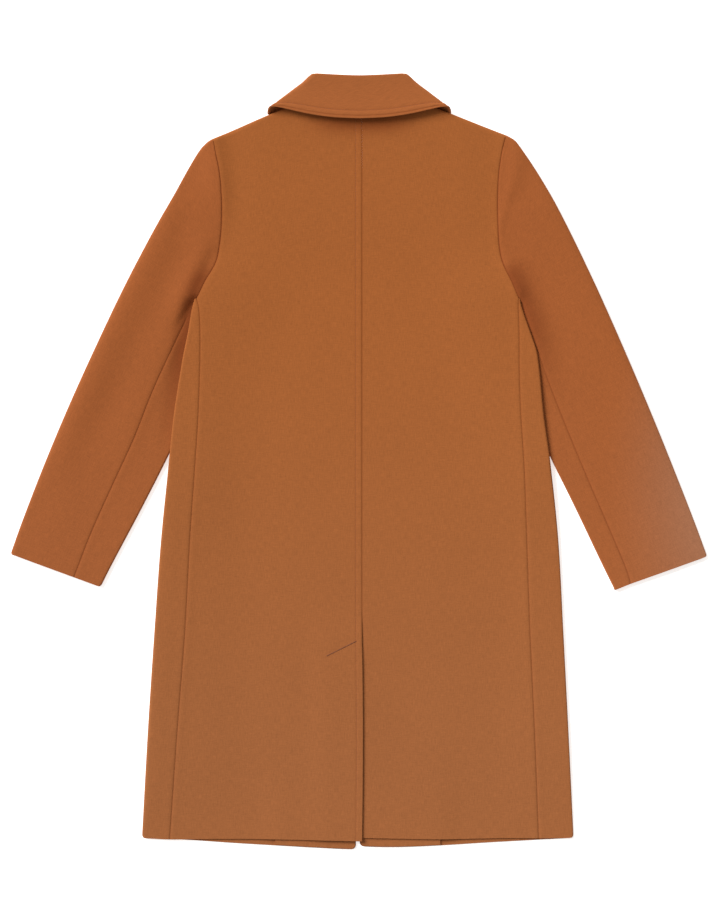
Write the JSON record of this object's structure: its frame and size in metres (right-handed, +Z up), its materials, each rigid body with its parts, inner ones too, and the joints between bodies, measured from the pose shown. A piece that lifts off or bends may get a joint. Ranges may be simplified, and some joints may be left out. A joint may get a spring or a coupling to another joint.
{
  "type": "overcoat",
  "caption": "Knee-length wool overcoat laid flat with its back up, with a turned-down collar, set-in sleeves, a centre back seam and a vent.",
  "frame": {"origin": "on the surface that the coat lies on, under the middle of its outline", "axes": "+Y along the coat from the hem to the collar, +Z up from the surface, +X across the coat towards the wearer's right"},
  "size_m": [0.9862, 1.1001, 0.0168],
  "materials": {
    "body_wool": "brushed wool coating in tan brown, matt with a faint nap",
    "sleeve_wool": "brushed wool coating in tan brown, matt, a little faded towards the cuffs",
    "collar_wool": "brushed wool coating in tan brown, pressed, with a topstitched edge",
    "facing_wool": "brushed wool coating in tan brown, matt"
  },
  "bodies": {
    "root": {"back_left": "body_wool", "back_right": "body_wool", "side_left": "body_wool", "side_right": "body_wool", "front_left": "body_wool", "front_right": "body_wool", "facing_left": "facing_wool", "facing_right": "facing_wool", "sleeve_left_top": "sleeve_wool", "sleeve_left_under": "sleeve_wool", "sleeve_right_top": "sleeve_wool", "sleeve_right_under": "sleeve_wool", "collar_stand": "collar_wool", "collar_fall": "collar_wool"}
  },
  "joints": []
}
